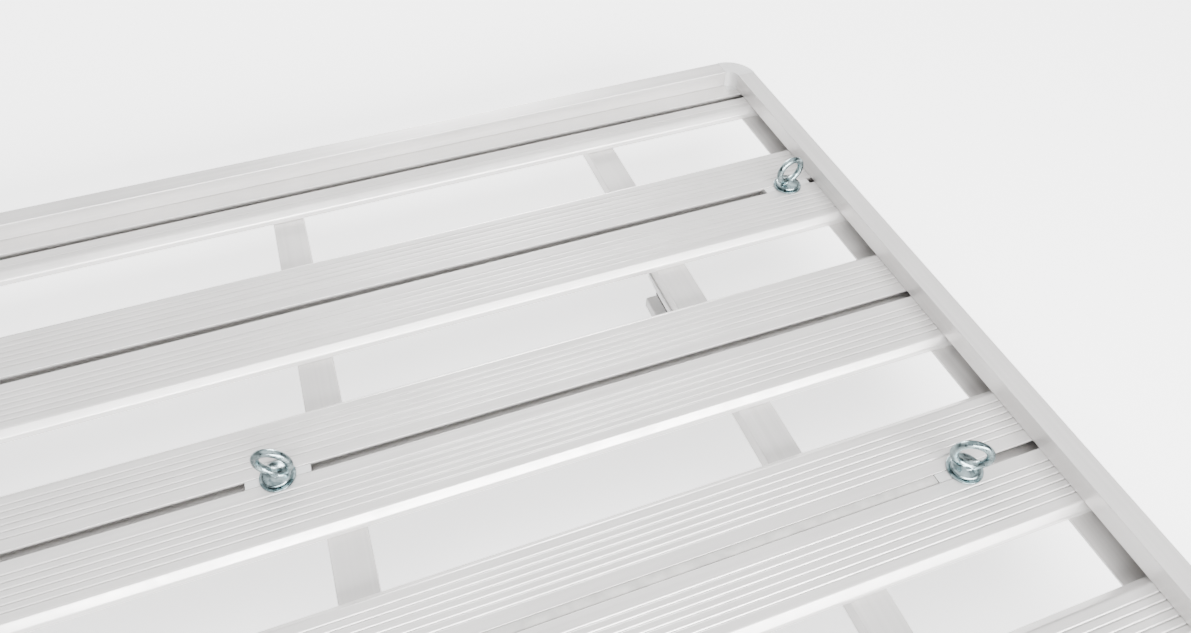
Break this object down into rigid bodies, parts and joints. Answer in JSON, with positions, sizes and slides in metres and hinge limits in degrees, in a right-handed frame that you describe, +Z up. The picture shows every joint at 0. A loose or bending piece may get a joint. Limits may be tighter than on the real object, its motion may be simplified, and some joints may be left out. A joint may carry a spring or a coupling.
{
  "type": "roof cargo tray",
  "caption": "Slatted aluminium roof tray with a low perimeter rail, T-slot planks, sliding tie-down eyes and clamps for roof crossbars.",
  "frame": {"origin": "under the middle of the tray, level with the undersides of the clamp plates", "axes": "+X to the right across the vehicle along the planks, +Y to the rear end, +Z up"},
  "size_m": [1.452, 1.6794, 0.15],
  "materials": {
    "satin_aluminium": "satin extruded, clear anodised",
    "cast_aluminium": "cast, fine blasted",
    "zinc_plate": "bright zinc plated forging",
    "stainless": "plain stainless",
    "black_plastic": "moulded, fine texture",
    "black_rubber": "matte",
    "grey_infill": "matte flexible strip"
  },
  "bodies": {
    "tray": {"side_rail_left": "satin_aluminium", "side_rail_right": "satin_aluminium", "end_rail_front": "satin_aluminium", "end_rail_rear": "satin_aluminium", "corner_front_left": "cast_aluminium", "corner_front_right": "cast_aluminium", "corner_rear_left": "cast_aluminium", "corner_rear_right": "cast_aluminium", "plank_1": "satin_aluminium", "plank_2": "satin_aluminium", "plank_3": "satin_aluminium", "plank_4": "satin_aluminium", "plank_5": "satin_aluminium", "plank_6": "satin_aluminium", "end_plank_front": "satin_aluminium", "end_plank_rear": "satin_aluminium", "slot_infill": "grey_infill", "bearer_left": "satin_aluminium", "bearer_cap_front_left": "black_plastic", "bearer_cap_rear_left": "black_plastic", "stud_strip_left": "stainless", "bearer_middle": "satin_aluminium", "bearer_cap_front_middle": "black_plastic", "bearer_cap_rear_middle": "black_plastic", "stud_strip_middle": "stainless", "bearer_right": "satin_aluminium", "bearer_cap_front_right": "black_plastic", "bearer_cap_rear_right": "black_plastic", "stud_strip_right": "stainless"},
    "nut_left": {"channel_nut_left": "cast_aluminium", "eye_washer_left": "zinc_plate"},
    "eye_left": {"eye_bolt_left": "zinc_plate"},
    "nut_right": {"channel_nut_right": "cast_aluminium", "eye_washer_right": "zinc_plate"},
    "eye_right": {"eye_bolt_right": "zinc_plate"},
    "nut_rear": {"channel_nut_rear": "cast_aluminium", "eye_washer_rear": "zinc_plate"},
    "eye_rear": {"eye_bolt_rear": "zinc_plate"},
    "foot_front_left": {"saddle_front_left": "cast_aluminium", "saddle_pad_front_left": "black_rubber", "clamp_bolts_front_left": "stainless"},
    "clamp_front_left": {"clamp_plate_front_left": "cast_aluminium", "nut_bar_front_left": "stainless"},
    "foot_front_right": {"saddle_front_right": "cast_aluminium", "saddle_pad_front_right": "black_rubber", "clamp_bolts_front_right": "stainless"},
    "clamp_front_right": {"clamp_plate_front_right": "cast_aluminium", "nut_bar_front_right": "stainless"},
    "foot_rear_left": {"saddle_rear_left": "cast_aluminium", "saddle_pad_rear_left": "black_rubber", "clamp_bolts_rear_left": "stainless"},
    "clamp_rear_left": {"clamp_plate_rear_left": "cast_aluminium", "nut_bar_rear_left": "stainless"},
    "foot_rear_right": {"saddle_rear_right": "cast_aluminium", "saddle_pad_rear_right": "black_rubber", "clamp_bolts_rear_right": "stainless"},
    "clamp_rear_right": {"clamp_plate_rear_right": "cast_aluminium", "nut_bar_rear_right": "stainless"}
  },
  "joints": [
    {"name": "nut_left_slide", "type": "slide", "parent": "tray", "child": "nut_left", "axis": [1, 0, 0], "range_m": [-0.6095, 0.7195]},
    {"name": "eye_left_turn", "type": "hinge", "parent": "nut_left", "child": "eye_left", "pos_m": [-0.055, 0.3405, 0.102], "axis": [0, 0, 1], "continuous": true},
    {"name": "nut_right_slide", "type": "slide", "parent": "tray", "child": "nut_right", "axis": [1, 0, 0], "range_m": [0, 0.0545]},
    {"name": "eye_right_turn", "type": "hinge", "parent": "nut_right", "child": "eye_right", "pos_m": [0.61, 0.1135, 0.102], "axis": [0, 0, 1], "continuous": true},
    {"name": "nut_rear_slide", "type": "slide", "parent": "tray", "child": "nut_rear", "axis": [1, 0, 0], "range_m": [-1.3235, 0.0055]},
    {"name": "eye_rear_turn", "type": "hinge", "parent": "nut_rear", "child": "eye_rear", "pos_m": [0.659, 0.5675, 0.102], "axis": [0, 0, 1], "continuous": true},
    {"name": "foot_front_left_slide", "type": "slide", "parent": "tray", "child": "foot_front_left", "axis": [0, 1, 0], "range_m": [-0.2, 0.2]},
    {"name": "clamp_front_left_close", "type": "slide", "parent": "foot_front_left", "child": "clamp_front_left", "axis": [0, 0, 1], "range_m": [0, 0.012]},
    {"name": "foot_front_right_slide", "type": "slide", "parent": "tray", "child": "foot_front_right", "axis": [0, 1, 0], "range_m": [-0.2, 0.2]},
    {"name": "clamp_front_right_close", "type": "slide", "parent": "foot_front_right", "child": "clamp_front_right", "axis": [0, 0, 1], "range_m": [0, 0.012]},
    {"name": "foot_rear_left_slide", "type": "slide", "parent": "tray", "child": "foot_rear_left", "axis": [0, 1, 0], "range_m": [-0.2, 0.2]},
    {"name": "clamp_rear_left_close", "type": "slide", "parent": "foot_rear_left", "child": "clamp_rear_left", "axis": [0, 0, 1], "range_m": [0, 0.012]},
    {"name": "foot_rear_right_slide", "type": "slide", "parent": "tray", "child": "foot_rear_right", "axis": [0, 1, 0], "range_m": [-0.2, 0.2]},
    {"name": "clamp_rear_right_close", "type": "slide", "parent": "foot_rear_right", "child": "clamp_rear_right", "axis": [0, 0, 1], "range_m": [0, 0.012]}
  ]
}
